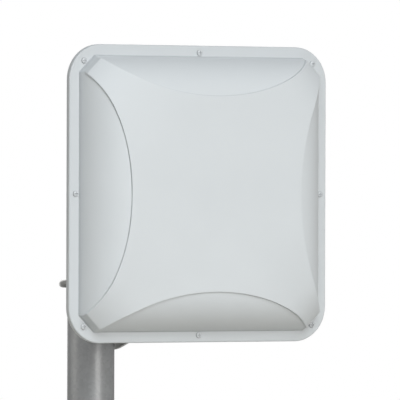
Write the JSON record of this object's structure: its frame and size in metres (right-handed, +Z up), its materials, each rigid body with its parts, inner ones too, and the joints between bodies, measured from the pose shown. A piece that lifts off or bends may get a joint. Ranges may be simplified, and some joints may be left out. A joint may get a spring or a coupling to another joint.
{
  "type": "panel antenna",
  "caption": "Square panel antenna with a moulded white radome over patch radiators, on a tilt bracket that a U-bolt clamps to a galvanised mast section.",
  "frame": {"origin": "centre of the mast section's open foot, on the mast's axis", "axes": "+Z up the mast, the panel faces -Y, +X to the right as seen from the panel's front"},
  "size_m": [0.3, 0.2318, 0.4],
  "materials": {
    "mast_steel": "hot-dip galvanised, dull grey with faint scratches",
    "zinc_rod": "bright zinc plated, rolled thread on the legs",
    "saddle_steel": "galvanised, toothed",
    "zinc_fasteners": "bright zinc plated",
    "spring_steel": "zinc plated spring steel",
    "bracket_steel": "hot-dip galvanised sheet",
    "plate_aluminium": "mill finish, fine rolling lines",
    "seal_rubber": "matt",
    "radome_plastic": "satin moulded light-grey plastic",
    "white_screws": "painted to match the radome",
    "board_laminate": "glass-fibre laminate with solder mask",
    "board_copper": "etched copper",
    "brass_screws": "turned brass",
    "white_nylon": "natural nylon",
    "patch_aluminium": "stamped sheet",
    "nickel_brass": "nickel plated",
    "gold_contact": "gold plated"
  },
  "bodies": {
    "mast": {"mast_tube": "mast_steel"},
    "clamp": {"u_bolt": "zinc_rod", "clamp_saddle": "saddle_steel", "clamp_washers": "zinc_fasteners", "clamp_spring_washers": "spring_steel", "clamp_nuts": "zinc_fasteners"},
    "antenna_head": {"tilt_bracket": "bracket_steel", "bracket_studs": "zinc_fasteners", "bracket_washers": "zinc_fasteners", "bracket_spring_washers": "spring_steel", "bracket_nuts": "zinc_fasteners", "back_plate": "plate_aluminium", "rim_gasket": "seal_rubber", "radome": "radome_plastic", "flange_screws": "white_screws", "feed_board": "board_laminate", "copper_circuit": "board_copper", "board_screws": "brass_screws", "director_pillars": "white_nylon", "director_patches": "patch_aluminium", "director_screws": "white_nylon", "connector_jack": "nickel_brass", "connector_insulator": "white_nylon", "connector_pin": "gold_contact", "connector_seal": "seal_rubber", "connector_screws": "zinc_fasteners"}
  },
  "joints": [
    {"name": "azimuth_swivel", "type": "hinge", "parent": "mast", "child": "clamp", "pos_m": [0, 0, 0.158], "axis": [0, 0, 1], "continuous": true},
    {"name": "panel_tilt", "type": "hinge", "parent": "clamp", "child": "antenna_head", "pos_m": [0, 0, 0.158], "axis": [-1, 0, 0], "range_deg": [-25, 25]}
  ]
}
